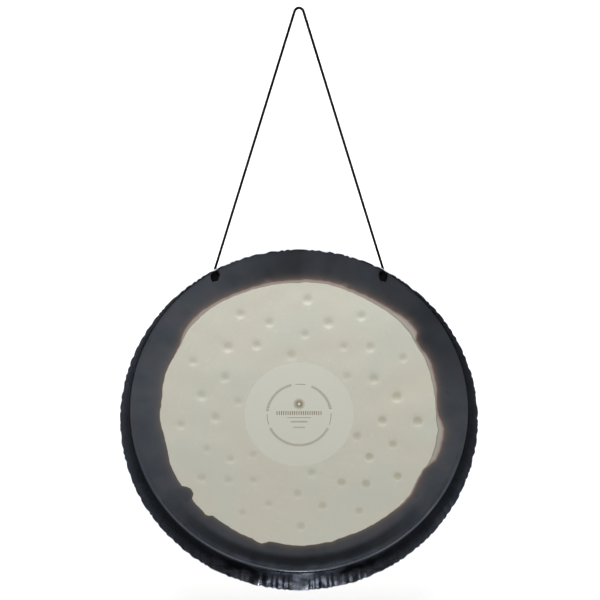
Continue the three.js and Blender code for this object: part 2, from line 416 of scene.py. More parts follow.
@dataclass(frozen=True)
class MetalFinish:
    """Hammered nickel silver with a brushed middle, a burnt border and a dark bluish rim.

    Attributes:
        name: The material's name.
        centre: The middle of the gong's face, in the row frame.
        silver: Colour of the brushed middle.
        disc: Colour of the matt disc in its centre.
        disc_radius: Radius of that disc, or 0 for none.
        band: Colour of the burnt border.
        band_shade: Its darker colour, next to the silver and in clouds.
        rim: Colour of the rim's metal.
        silver_rough: Roughness of the brushed middle.
        band_rough: Roughness of the border.
        rim_rough: Roughness of the rim.
        stains: How strongly the hammer marks are stained.
        seed: Shifts every cloud, so that two sides differ.
    """

    name: str
    centre: Vector
    silver: Colour = (0.62, 0.622, 0.54)
    disc: Colour = (0.62, 0.62, 0.545)
    disc_radius: float = 0.1262
    band: Colour = (0.081, 0.090, 0.104)
    band_shade: Colour = (0.060, 0.067, 0.081)
    rim: Colour = (0.52, 0.56, 0.64)
    silver_rough: float = 0.26
    band_rough: float = 0.20
    rim_rough: float = 0.19
    stains: float = 1.0
    seed: float = 0.0
    edge: BurntEdge = field(default_factory=BurntEdge)

    def make(self) -> bpy.types.Material:
        """Write the material and return it."""
        graph = Surface(self.name, {"Metallic": 1.0})
        spot = graph.out("ShaderNodeMapping", {"Vector": graph.spot, "Location": tuple(-self.centre)})
        x, _, z = graph.split(spot)
        radius = graph.math("SQRT", x * x + z * z)
        turn = graph.math("ARCTAN2", x, z) / (2 * math.pi)
        turn = graph.math("FRACT", turn + 1.0)
        clouds = graph.steer("ADD", spot, (self.seed,) * 3)
        round_about = self.ring_vector(graph, x, z, radius)
        rim_share = graph.named("rim_share")
        on_rim = graph.smooth(rim_share, 0.02, 0.12)

        beyond = self.beyond_silver(graph, clouds, radius, turn)
        halo = self.edge.halo.at(graph, turn)
        silver = self.silver_colour(graph, clouds, round_about, radius)
        band = self.band_colour(graph, clouds, round_about, radius, turn, beyond, halo)
        colour = graph.blend(graph.smooth(beyond, -0.0007, 0.0009), silver, band)
        rim = self.rim_colour(graph, clouds, rim_share, turn)
        dark = graph.smooth(beyond, 0.0, 0.004)
        return graph.finish(
            Base_Color=graph.blend(on_rim, colour, rim),
            Roughness=self.roughness(graph, clouds, round_about, radius, dark, on_rim),
            Normal=self.bump(graph, clouds, round_about, dark, on_rim),
        )

    def ring_vector(self, graph: Graph, x: Wire, z: Wire, radius: Wire) -> Wire:
        """Return a vector that changes fast outwards and slowly round the gong, for turned marks."""
        return graph.vector(x / radius, z / radius, radius * 40.0)

    def in_disc(self, graph: Graph, radius: Wire) -> Wire:
        """Return 1 inside the matt disc, with an edge 3 mm wide."""
        return graph.smooth(radius, self.disc_radius + 0.0015, self.disc_radius - 0.0015)

    def beyond_silver(self, graph: Graph, clouds: Wire, radius: Wire, turn: Wire) -> Wire:
        """Return how far outside the silver's ragged edge a point lies, in metres."""
        edge = self.edge.silver.at(graph, turn)
        coarse = graph.noise(clouds, 55.0, 3.0) - 0.5
        fine = graph.noise(clouds, 260.0, 3.0) - 0.5
        ragged = coarse * 0.0045 + fine * 0.0022
        return radius - (edge + ragged)

    def silver_colour(self, graph: Graph, clouds: Wire, rings: Wire, radius: Wire) -> Wire:
        """Return the brushed middle's colour, with its matt disc, the stained hammer marks and painted shade
        in the dents.
        """
        tint = graph.smooth(graph.noise(clouds, 7.0, 2.0), 0.3, 0.7)
        warmer = tuple(c * f for c, f in zip(self.silver, (1.04, 1.0, 0.97)))
        colour = graph.blend(tint, self.silver, warmer)
        turned = graph.smooth(graph.noise(rings, 9.0, 4.0, 0.65), 0.25, 0.75)
        colour = graph.blend(turned * 0.05, colour, (0.42, 0.415, 0.35))
        if self.disc_radius:
            colour = graph.blend(self.in_disc(graph, radius), colour, self.disc)
        span, stain = graph.named("mark_span"), graph.named("mark_stain")
        ring = graph.between(span, 0.32, 0.60, 0.12)
        patch = ring * 0.75 + graph.smooth(span, 0.45, 0.05)
        amount = graph.math("MULTIPLY", patch, stain * self.stains, clamp=True)
        colour = graph.blend(amount, colour, (0.42, 0.36, 0.21))
        # Painted shade: each hammer dent is darkened towards its middle, whatever the light.
        shade = graph.smooth(span, 0.85, 0.0) * 0.22
        return graph.blend(shade, colour, (0.33, 0.32, 0.27))

    def band_colour(self, graph: Graph, clouds: Wire, rings: Wire, radius: Wire, turn: Wire,
                    beyond: Wire, halo: Wire) -> Wire:
        """Return the burnt border's colour, from the halo at the silver out to the fold, with a painted dark
        reflection by the fold at the bottom.
        """
        big = graph.smooth(graph.noise(clouds, 9.0, 3.0), 0.3, 0.7)
        colour = graph.blend(big, self.band_shade, self.band)
        streaks = graph.smooth(graph.noise(self.streak_vector(graph, rings), 9.0, 3.0), 0.35, 0.7)
        colour = graph.blend(streaks * 0.3, colour, (0.105, 0.108, 0.116))
        for scale, low, high, tint, amount in (
            (16.0, 0.56, 0.72, (0.100, 0.078, 0.106), 0.40),
            (21.0, 0.58, 0.74, (0.062, 0.098, 0.092), 0.40),
            (33.0, 0.62, 0.76, (0.125, 0.084, 0.052), 0.35),
            (48.0, 0.64, 0.74, (0.030, 0.031, 0.036), 0.50),
        ):
            shifted = graph.steer("ADD", clouds, (scale, 0.0, -scale))
            cloud = graph.smooth(graph.noise(shifted, scale, 3.0), low, high)
            colour = graph.blend(cloud * amount, colour, tint)
        # Painted reflection: a dark ring next to the fold at the bottom stands in for the dark reflection
        # that the border shows there.
        low = graph.smooth(abs(turn - 0.5), 0.19, 0.06)
        painted_dark_reflection = graph.between(radius, 0.352, 0.3815, 0.009) * low
        colour = graph.dim(colour, self.edge.tone.at(graph, turn) * (1.0 - painted_dark_reflection * 0.68))
        past = beyond - halo
        bloom = graph.math("EXPONENT", graph.math("MAXIMUM", past, 0.0) * -140.0)
        colour = graph.blend(bloom * 0.85, colour, (0.185, 0.15, 0.13))
        copper = graph.between(past, -0.0006, 0.0022, 0.0012)
        colour = graph.blend(copper * 0.45, colour, (0.22, 0.13, 0.085))
        inside = graph.smooth(past, 0.0006, -0.0012)
        wide = graph.smooth(halo, 0.0005, 0.003)
        pale = graph.blend(graph.smooth(past, -0.007, -0.001), (0.44, 0.41, 0.36), (0.34, 0.275, 0.25))
        colour = graph.blend(inside * wide, colour, pale)
        line = graph.smooth(beyond, 0.0032, 0.0004) * graph.smooth(halo, 0.003, 0.008)
        return graph.blend(line * 0.55, colour, (0.1, 0.092, 0.082))

    def streak_vector(self, graph: Graph, rings: Wire) -> Wire:
        """Return a vector that changes round the gong only, for streaks that run outwards."""
        return graph.steer("MULTIPLY", rings, (1.0, 1.0, 0.04))

    def rim_colour(self, graph: Graph, clouds: Wire, rim_share: Wire, turn: Wire) -> Wire:
        """Return the rim's colour, darker by the fold, mottled with brown and patched brighter at the bottom
        as a painted reflection.
        """
        dark = tuple(c * 0.32 for c in self.rim)
        colour = graph.blend(graph.smooth(rim_share, 0.15, 0.90), dark, self.rim)
        mottle = graph.smooth(graph.noise(clouds, 45.0, 4.0), 0.5, 0.72)
        colour = graph.blend(mottle * 0.35, colour, (0.16, 0.145, 0.13))
        # Painted reflection: bright and dark patches on the rim's lower part stand in for the light that it
        # mirrors there.
        painted_reflection_patches = graph.smooth(graph.noise(clouds, 34.0, 1.0), 0.40, 0.58)
        low = graph.smooth(abs(turn - 0.5), 0.11, 0.06)
        painted_reflection_patches = (painted_reflection_patches * 1.05 - 0.55) * low + 1.0
        return graph.dim(colour, self.edge.rim_tone.at(graph, turn) * painted_reflection_patches)

    def roughness(self, graph: Graph, clouds: Wire, rings: Wire, radius: Wire, dark: Wire,
                  on_rim: Wire) -> Wire:
        """Return the roughness of each zone, with wear and handling marks in it."""
        brushed = graph.noise(rings, 14.0, 4.0, 0.6) * 0.08 + (self.silver_rough - 0.04)
        if self.disc_radius:
            brushed = self.in_disc(graph, radius) * 0.09 + brushed
        burnt = graph.noise(clouds, 60.0, 4.0) * 0.16 + (self.band_rough - 0.08)
        bright = graph.noise(clouds, 90.0, 3.0) * 0.08 + (self.rim_rough - 0.04)
        face = graph.out("ShaderNodeMix", {0: dark, 2: brushed, 3: burnt}, data_type="FLOAT")
        return graph.out("ShaderNodeMix", {0: on_rim, 2: face, 3: bright}, data_type="FLOAT")

    def bump(self, graph: Graph, clouds: Wire, rings: Wire, dark: Wire, on_rim: Wire) -> Wire:
        """Return a normal with brushing in the middle and a fire-scaled grain outside it."""
        brushing = graph.noise(rings, 60.0, 3.0, 0.7) * 0.12
        grain = graph.noise(clouds, 420.0, 3.0, 0.6) * (1.0 - on_rim)
        height = graph.out("ShaderNodeMix", {0: dark, 2: brushing, 3: grain}, data_type="FLOAT")
        ripples = graph.noise(clouds, 38.0, 2.0) * (on_rim * 6.0)
        return graph.relief(height + ripples, 0.12)


@dataclass(frozen=True)
class CordFinish:
    """Black braided polyester.

    Attributes:
        name: The material's name.
        plaits: Diamonds of the braid round the cord.
        pitch: Length of one diamond along the cord.
    """

    name: str = "black_braid"
    plaits: int = 8
    pitch: float = 0.0030

    def make(self) -> bpy.types.Material:
        """Write the material and return it."""
        graph = Surface(self.name, {"Specular IOR Level": 0.06})
        diamond = braid_height(graph, self.plaits, self.pitch)
        fuzz = graph.noise(graph.spot, 900.0, 3.0)
        # Painted shade: the braid is darker in its grooves than on its crowns.
        colour = graph.blend(diamond, (0.0022, 0.0022, 0.0025), (0.0085, 0.0085, 0.0095))
        colour = graph.blend(graph.smooth(fuzz, 0.5, 0.8) * 0.4, colour, (0.016, 0.016, 0.018))
        threads = graph.noise(graph.spot, 2200.0, 2.0) * 0.5 + diamond
        return graph.finish(Base_Color=colour, Roughness=fuzz * 0.2 + 0.68, Normal=graph.relief(threads, 0.5))


@dataclass(frozen=True)
class InkFinish:
    """Gold-brown ink of the printed centre, a little worn."""

    name: str = "gold_brown_ink"
    ink: Colour = (0.145, 0.098, 0.030)
    worn: Colour = (0.25, 0.19, 0.09)

    def make(self) -> bpy.types.Material:
        """Write the material and return it."""
        graph = Surface(self.name, {"Metallic": 0.35})
        wear = graph.smooth(graph.noise(graph.spot, 320.0, 4.0), 0.45, 0.75)
        return graph.finish(Base_Color=graph.blend(wear, self.ink, self.worn), Roughness=wear * 0.2 + 0.45)


def braid_height(graph: Graph, plaits: int, pitch: float) -> Wire:
    """Write the relief of a round braid from the cord's around and along attributes.

    Args:
        graph: The tree to write in.
        plaits: Diamonds round the cord.
        pitch: Length of a diamond along the cord.

    Returns:
        0 in the grooves to 1 on the crowns.
    """
    across, forward = graph.named("around") * float(plaits), graph.named("along") / pitch
    ways = (across + forward, across - forward)
    heights = [abs(graph.math("SINE", way * math.pi)) for way in ways]
    return (heights[0] * heights[1]) ** 0.6


# The metal shell


@dataclass(frozen=True)
class HammerRing:
    """One ring of hammer marks.

    Attributes:
        radius: The ring's radius.
        clocks: Where on the ring each mark was struck, in degrees.
        depth: How deep the marks are.
        reach: Radius of a mark.
    """

    radius: float
    clocks: tuple[float, ...]
    depth: float = 0.00084
    reach: float = 0.0166


@dataclass
class GongShell:
    """The gong itself: one hammered sheet with a faintly crowned face and a turned, flared rim.

    Radii and depths are those of the middle of the sheet, and a depth runs from the face's plane towards -Y.
    """

    drop: float = 0.920
    face_y: float = 0.014
    fold_radius: float = 0.393
    rim_radius: float = 0.4052
    rim_depth: float = 0.072
    fold_bend: float = 0.007
    crown: float = 0.003
    bow: float = 0.0022
    lip: float = 0.0015
    lip_start: float = 0.60
    sheet: float = 0.0013
    around: int = 800
    lattice: float = 0.0085
    hole_radius: float = 0.0066
    hole_reach: float = 0.190
    scallops: int = 112
    scallop_depth: float = 0.0026
    wave_depth: float = 0.0014
    swell_depth: float = 0.0022
    facet_depth: float = 0.0020
    seed: int = 11
    rings: tuple[HammerRing, ...] = (
        HammerRing(0.145, (50, 111, 168, 228, 283, 353), 0.00062),
        HammerRing(0.194, (4, 32, 63, 94, 122, 149, 181, 214, 236, 268, 298, 330)),
        HammerRing(0.231, (17, 45, 79, 108, 137, 166, 198, 226, 249, 282, 315, 343), 0.00080),
        HammerRing(0.276, (4, 31, 60, 93, 123, 149, 179, 209, 236, 265, 298, 331)),
        HammerRing(0.334, (18, 348), 0.00070),
        HammerRing(0.346, (47,), 0.00070),
        HammerRing(0.366, (103, 146), 0.00070),
    )

    @property
    def flare(self) -> float:
        """The rim's lean outwards, in radians."""
        return math.atan2(self.rim_radius - self.fold_radius, self.rim_depth)

    @property
    def flat_radius(self) -> float:
        """Where the face ends and the fold's bend begins."""
        return self.fold_radius - self.fold_bend * math.tan((math.pi / 2 - self.flare) / 2)

    @property
    def centre(self) -> Vector:
        """The middle of the face's plane, in the row frame."""
        return Vector((0.0, self.face_y, -self.drop))

    def crown_at(self, radius: float) -> float:
        """Return how far the face stands out towards +Y at a radius."""
        return self.crown * (1.0 - (radius / self.flat_radius) ** 2)

    def marks(self) -> list[tuple[float, float, HammerRing, float]]:
        """Return each hammer mark as x, z, its ring and its clock."""
        found = []
        for ring in self.rings:
            for clock in ring.clocks:
                angle = math.radians(clock)
                found.append((ring.radius * math.sin(angle), ring.radius * math.cos(angle), ring, clock))
        return found

    def face_points(self) -> list[tuple[float, float]]:
        """Place the face's vertices: the fold's ring, tight rings at the marks and an even lattice between.

        Returns:
            Points as x and z, the fold's ring first.
        """
        points = []
        insets, edge_gap = (0.0, 0.0035, 0.009), 0.011
        for halvings, inset in enumerate(insets):
            points += circle(self.around // 2**halvings, self.flat_radius - inset)
        spots = np.array([(x, z) for x, z, _, _ in self.marks()])
        step, steps = 0.0020, 8
        for x, z in spots:
            points.append((x, z))
            for ring in range(1, steps + 1):
                for across, up in circle(6 * ring, ring * step, 0.5 * (ring % 2)):
                    if math.hypot(x + across, z + up) < self.flat_radius - edge_gap:
                        points.append((x + across, z + up))
        clear = steps * step + 0.5 * self.lattice
        limit = self.flat_radius - insets[-1] - 0.6 * self.lattice
        rows = int(limit / (self.lattice * math.sqrt(0.75))) + 1
        for row in range(-rows, rows + 1):
            z = row * self.lattice * math.sqrt(0.75)
            for column in range(-rows, rows + 1):
                x = (column + 0.5 * (row % 2)) * self.lattice
                if math.hypot(x, z) > limit:
                    continue
                if np.min(np.hypot(spots[:, 0] - x, spots[:, 1] - z)) > clear:
                    points.append((x, z))
        return points

    def rim_line(self) -> list[tuple[float, float, float]]:
        """Return the half section past the face as radius, depth and share of the rim's depth."""
        line = []
        bend_steps, rim_steps = 8, 17
        for step in range(1, bend_steps + 1):
            turn = step / bend_steps * (math.pi / 2 - self.flare)
            radius = self.flat_radius + self.fold_bend * math.sin(turn)
            line.append((radius, self.fold_bend * (1 - math.cos(turn))))
        start = line[-1]
        for step in range(1, rim_steps + 1):
            share = step / rim_steps
            bulge = 1.5 * self.bow * share * math.sin(math.pi * share)
            lip = self.lip * (max(0.0, (share - self.lip_start) / (1 - self.lip_start)) ** 2 - share)
            radius = start[0] + share * (self.rim_radius - start[0]) + bulge + lip
            line.append((radius, start[1] + share * (self.rim_depth - start[1])))
        return [(radius, depth, depth / self.rim_depth) for radius, depth in line]

    def middle_sheet(self) -> bpy.types.Mesh:
        """Build the middle of the sheet as one open surface that faces the hollow.

        Returns:
            A mesh with the rim's share of each vertex as an attribute.
        """
        flat = [Vector(point) for point in self.face_points()]
        corners, _, triangles, *_ = delaunay_2d_cdt(flat, [], [], 0, 1e-7)
        vertices = [(p.x, self.face_y + self.crown_at(min(p.length, self.flat_radius)), p.y) for p in corners]
        shares = [0.0] * len(vertices)
        faces = [tuple(face) for face in triangles]
        previous = self.fold_ring(corners)
        for radius, depth, share in self.rim_line():
            first = len(vertices)
            vertices += [(x, self.face_y - depth, z) for x, z in circle(self.around, radius)]
            shares += [share] * self.around
            ring = list(range(first, first + self.around))
            for step in range(self.around):
                after = (step + 1) % self.around
                faces.append((previous[step], ring[step], ring[after], previous[after]))
            previous = ring
        mesh = new_mesh("middle_sheet", vertices, faces, rim_share=shares)
        work = bmesh.new()
        work.from_mesh(mesh)
        bmesh.ops.recalc_face_normals(work, faces=work.faces)
        middle = min(work.faces, key=lambda face: face.calc_center_median().xz.length)
        if middle.normal.y > 0:
            bmesh.ops.reverse_faces(work, faces=work.faces)
        work.to_mesh(mesh)
        work.free()
        return mesh

    def fold_ring(self, corners: Sequence[Vector]) -> list[int]:
        """Return the vertices of the face's outermost ring, in clock order."""
        ring = [i for i, p in enumerate(corners) if p.length > self.flat_radius - 1e-5]
        turn = 2 * math.pi
        return sorted(ring, key=lambda i: (math.atan2(corners[i].x, corners[i].y) + turn + 1e-9) % turn)

    def mark_points(self) -> bpy.types.Object:
        """Return an object whose vertices are the hammer marks, with their sizes as attributes."""
        marks = self.marks()
        spread = np.random.default_rng(self.seed).uniform(0.75, 1.2, len(marks))
        struck = [(ring, clock, share) for (_, _, ring, clock), share in zip(marks, spread)]
        mesh = new_mesh(
            "hammer_marks", [(x, self.face_y, z) for x, z, _, _ in marks],
            reach=[ring.reach * (0.5 + 0.5 * share) for ring, _, share in struck],
            depth=[ring.depth * share for ring, _, share in struck],
            stain=[self.stain_at(clock, ring) * share for ring, clock, share in struck],
        )
        return link_object("hammer_marks", mesh)

    def stain_at(self, clock: float, ring: HammerRing) -> float:
        """Return how yellow a mark is: strongest at the lower right."""
        yellowest, fade, inner_ring = 120.0, 75.0, 0.15
        away = abs((clock - yellowest + 180.0) % 360.0 - 180.0)
        return 0.11 + 0.48 * max(0.0, 1.0 - away / fade) * (1.0 if ring.radius > inner_ring else 0.6)

    def hammering_tree(self) -> GeometryTree:
        """Write the tree that strikes the marks into the sheet and scallops its rim."""
        tree = GeometryTree(
            "hammering",
            {"Marks": bpy.types.Object, "Scallops": float, "Scallop Depth": float, "Wave Depth": float,
             "Swell Depth": float, "Facet Depth": float, "Metal": bpy.types.Material},
        )
        place = tree.out("GeometryNodeInputPosition")
        x, _, z = tree.split(place)
        radius = tree.math("MAXIMUM", tree.math("SQRT", x * x + z * z), 1e-6)
        marks = tree.out("GeometryNodeObjectInfo", {0: tree.given["Marks"]}, output="Geometry")
        nearest = tree.out("GeometryNodeSampleNearest", {0: marks})

        def of_mark(name: str) -> Wire:
            """Return the nearest mark's attribute."""
            inputs = {"Geometry": marks, "Value": tree.named(name), "Index": nearest}
            return tree.out("GeometryNodeSampleIndex", inputs, data_type="FLOAT")

        spot = tree.out("GeometryNodeInputPosition")
        inputs = {"Geometry": marks, "Value": spot, "Index": nearest}
        at_mark = tree.out("GeometryNodeSampleIndex", inputs, data_type="FLOAT_VECTOR")
        apart = tree.steer("SUBTRACT", place, at_mark)
        flat = tree.steer("MULTIPLY", apart, (1.0, 0.0, 1.0))
        distance = tree.steer("LENGTH", flat, output="Value")
        span = tree.math("MINIMUM", distance / of_mark("reach"), 3.0)
        inside = tree.math("MAXIMUM", 1.0 - span * span, 0.0)
        dent = inside * inside * of_mark("depth")

        share = tree.named("rim_share")
        swell = tree.noise(place, 8.0, 1.0) - 0.5
        swell += (tree.noise(place, 19.0, 0.0) - 0.5) * 0.36
        swell *= tree.given["Swell Depth"] * tree.smooth(radius, 0.128, 0.175) * tree.smooth(share, 0.2, 0.0)

        turn = tree.math("ARCTAN2", x, z) / (2 * math.pi)
        outwards = tree.vector(x / radius, 0.0, z / radius)
        drift = tree.noise(outwards, 7.0, 2.0) * 5.0
        phase = turn * tree.given["Scallops"] + drift
        scallop = abs(tree.math("SINE", phase * math.pi)) - 0.64
        uneven = tree.noise(outwards, 12.0, 1.0) * 1.6 + 0.2
        scallop = scallop * uneven * tree.given["Scallop Depth"]
        wave = (tree.noise(outwards, 16.0, 2.0) - 0.5) * tree.given["Wave Depth"]
        grown = tree.smooth(share, 0.08, 1.15) ** 1.2
        facet = (tree.noise(place, 42.0, 1.0) - 0.5) * tree.given["Facet Depth"]
        push = (scallop + wave + facet) * grown

        offset = tree.steer("ADD", tree.scaled(outwards, push), tree.vector(0.0, dent + swell, 0.0))
        shape = tree.move(tree.given["Geometry"], offset)
        shape = tree.store(shape, "mark_span", span)
        shape = tree.store(shape, "mark_stain", of_mark("stain"))
        tree.end(shape, tree.given["Metal"])
        return tree

    def drill(self, mesh: bpy.types.Mesh, height: float) -> None:
        """Cut the two cord holes in the rim of the open sheet.

        Args:
            mesh: The middle of the sheet, centred on the gong.
            height: The holes' height above the gong's middle.
        """
        work = bmesh.new()
        work.from_mesh(mesh)
        for side in Side:
            middle = Vector((side.value * self.hole_reach, 0.0, height))
            radial = Vector((middle.x, 0.0, middle.z)).normalized()
            normal = radial * math.cos(self.flare) + Vector((0.0, math.sin(self.flare), 0.0))

            def off_axis(point: Vector) -> Vector:
                """Return the part of the way from the hole's axis to a point that is square to the axis."""
                apart = point - middle
                return apart - normal * apart.dot(normal)

            coarse_reach, fine_reach = 3.2, 2.2
            for reach in (coarse_reach, fine_reach):
                near = [
                    edge for edge in work.edges
                    if all((v.co - middle).length < reach * self.hole_radius for v in edge.verts)
                ]
                bmesh.ops.subdivide_edges(work, edges=near, cuts=1, use_grid_fill=True)
            inner = [
                v for v in work.verts
                if (v.co - middle).length < 2 * self.hole_radius and off_axis(v.co).length < self.hole_radius
            ]
            bmesh.ops.delete(work, geom=inner, context="VERTS")
            rim = {
                v for edge in work.edges if edge.is_boundary for v in edge.verts
                if (v.co - middle).length < fine_reach * self.hole_radius
            }
            for vertex in rim:
                apart = off_axis(vertex.co)
                vertex.co += apart.normalized() * (self.hole_radius - apart.length)
        work.to_mesh(mesh)
        work.free()

    def build(self) -> bpy.types.Object:
        """Make the shell as one closed piece, put it on its body and return it."""
        finishes = (
            MetalFinish("burnt_nickel_silver", self.centre),
            MetalFinish("raw_nickel_silver", self.centre, silver=(0.50, 0.48, 0.40), disc_radius=0.0,
                        silver_rough=0.42, stains=0.4, seed=5.0),
        )
        metal = [finish.make() for finish in finishes]
        sheet = link_object("gong_shell", self.middle_sheet())
        marks = self.mark_points()
        values = {"Marks": marks, "Scallops": float(self.scallops), "Scallop Depth": self.scallop_depth,
                  "Wave Depth": self.wave_depth, "Swell Depth": self.swell_depth,
                  "Facet Depth": self.facet_depth, "Metal": metal[0]}
        mesh = self.hammering_tree().run(sheet, values)
        bpy.data.objects.remove(marks)
        self.drill(mesh, tilt_height() + self.drop)
        dress(mesh, *metal)
        sheet.data = mesh
        walls = sheet.modifiers.new("walls", "SOLIDIFY")
        walls.thickness = self.sheet
        walls.offset = 0.0
        walls.material_offset = 1
        walls.material_offset_rim = 0
        solid = evaluated_mesh(sheet)
        sheet.modifiers.remove(walls)
        solid.transform(Matrix.Translation((0.0, 0.0, -self.drop)))
        smooth_shading(solid, METAL_SHARP_DEGREES)
        sheet.data = solid
        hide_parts("gong_plate")
        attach(sheet, Body.GONG.value)
        return sheet


# The printed centre


@dataclass
class CentrePrint:
    """The ornament printed on the matt disc: lozenges and dots between thin arcs, and a rosette.

    Attributes:
        shell: The shell that carries it.
        ring_radius: Radius of the ring of lozenges, dots and arcs.
        ink_height: How far the ink stands proud.
    """

    shell: GongShell
    ring_radius: float = 0.0743
    ink_height: float = 0.00012

    def stamp_tree(self) -> GeometryTree:
        """Write the tree that repeats one flat shape round an arc of the face."""
        tree = GeometryTree(
            "stamp_ring",
            {"Count": int, "Centre Z": float, "Radius": float, "First Clock": float, "Sweep": float,
             "Width": float, "Height": float, "Is Bar": bool, "Ink Height": float, "Face Y": float,
             "Crown": float, "Flat Radius": float, "Ink": bpy.types.Material},
        )
        given = tree.given
        points = tree.out("GeometryNodePoints", {"Count": given["Count"]})
        number = tree.out("GeometryNodeInputIndex")
        share = number / tree.math("MAXIMUM", given["Count"] - 1.0, 1.0)
        clock = given["Sweep"] * share + given["First Clock"]
        upwards = given["Radius"] * tree.math("COSINE", clock) + given["Centre Z"]
        spot = tree.vector(given["Radius"] * tree.math("SINE", clock), 0.0, upwards)
        points = tree.out("GeometryNodeSetPosition", {"Geometry": points, "Position": spot})
        inputs = {"Vertices": 12, "Radius": 0.5, "Depth": 1.0}
        dot = tree.out("GeometryNodeMeshCylinder", inputs, output="Mesh")
        bar = tree.out("GeometryNodeMeshCube", {"Size": (1.0, 1.0, 1.0)}, output="Mesh")
        inputs = {"Switch": given["Is Bar"], "False": dot, "True": bar}
        shape = tree.out("GeometryNodeSwitch", inputs, input_type="GEOMETRY")
        stretch = tree.vector(given["Width"], given["Height"], given["Ink Height"])
        shape = tree.out("GeometryNodeTransform", {"Geometry": shape, "Scale": stretch})
        shape = tree.out("GeometryNodeTransform", {"Geometry": shape, "Rotation": (math.pi / 2, 0.0, 0.0)})
        turn = tree.vector(0.0, clock, 0.0)
        inputs = {"Points": points, "Instance": shape, "Rotation": turn}
        stamps = tree.out("GeometryNodeInstanceOnPoints", inputs)
        real = tree.out("GeometryNodeRealizeInstances", {0: stamps})
        place = tree.out("GeometryNodeInputPosition")
        x, _, z = tree.split(place)
        squared = x * x + z * z
        flat = squared / (given["Flat Radius"] * given["Flat Radius"])
        depth = given["Crown"] * (1.0 - flat) + given["Face Y"]
        tree.end(tree.move(real, tree.vector(0.0, depth, 0.0)), given["Ink"])
        return tree

    def build(self) -> bpy.types.Object:
        """Print the ornament as one piece on the face and return it."""
        ink = InkFinish().make()
        tree = self.stamp_tree()
        ring = self.ring_radius
        degrees = math.radians
        stamps: list[dict[str, float]] = []

        def stamp(count: int, radius: float, first: float, sweep: float, width: float, height: float,
                  bar: bool = True, centre: float = 0.0) -> None:
            """Note one run of equal bars or dots; first and sweep are in degrees."""
            stamps.append({"Count": count, "Centre Z": centre, "Radius": radius,
                           "First Clock": degrees(first), "Sweep": degrees(sweep),
                           "Width": width, "Height": height, "Is Bar": bar})

        def row(height_z: float, half_length: float, pitch: float, width: float, height: float) -> None:
            """Note a straight row of bars, as an arc too wide to see."""
            wide = 30.0
            reach = math.degrees(half_length / wide)
            stamp(round(2 * half_length / pitch) + 1, wide, -reach, 2 * reach, width, height,
                  centre=height_z - wide)

        for first, sweep in ((24.0, 54.0), (117.0, 126.0), (278.0, 67.0)):
            stamp(round(degrees(sweep) * ring / 0.0037) + 1, ring, first, sweep, 0.0014, 0.0062)
        for first, sweep in ((87.0, 21.0), (252.0, 19.0), (354.0, 17.0)):
            stamp(round(degrees(sweep) * ring / 0.0010) + 1, ring, first, sweep, 0.0011, 0.0011)
        rosette = 0.0265
        stamp(12, 0.0074, 0.0, 330.0, 0.0026, 0.0090, bar=False, centre=rosette)
        stamp(12, 0.0126, 15.0, 330.0, 0.0022, 0.0022, bar=False, centre=rosette)
        row(0.0045, 0.0510, 0.0051, 0.0019, 0.0096)
        row(-0.0068, 0.0270, 0.0010, 0.0011, 0.0010)
        row(-0.0165, 0.0182, 0.0026, 0.0011, 0.0042)
        row(-0.0305, 0.0126, 0.0026, 0.0010, 0.0034)
        face = self.shell.face_y - self.shell.sheet / 2
        common = {"Ink Height": self.ink_height, "Face Y": face, "Crown": self.shell.crown,
                  "Flat Radius": self.shell.flat_radius, "Ink": ink}
        work = bmesh.new()
        holder = link_object("centre_print", bpy.data.meshes.new("empty"))
        for values in stamps:
            work.from_mesh(tree.run(holder, {**values, **common}))
        mesh = bpy.data.meshes.new("centre_print")
        work.to_mesh(mesh)
        work.free()
        dress(mesh, ink)
        mesh.transform(Matrix.Translation((0.0, 0.0, -self.shell.drop)))
        holder.data = mesh
        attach(holder, Body.GONG.value)
        return holder


# Cord and knots


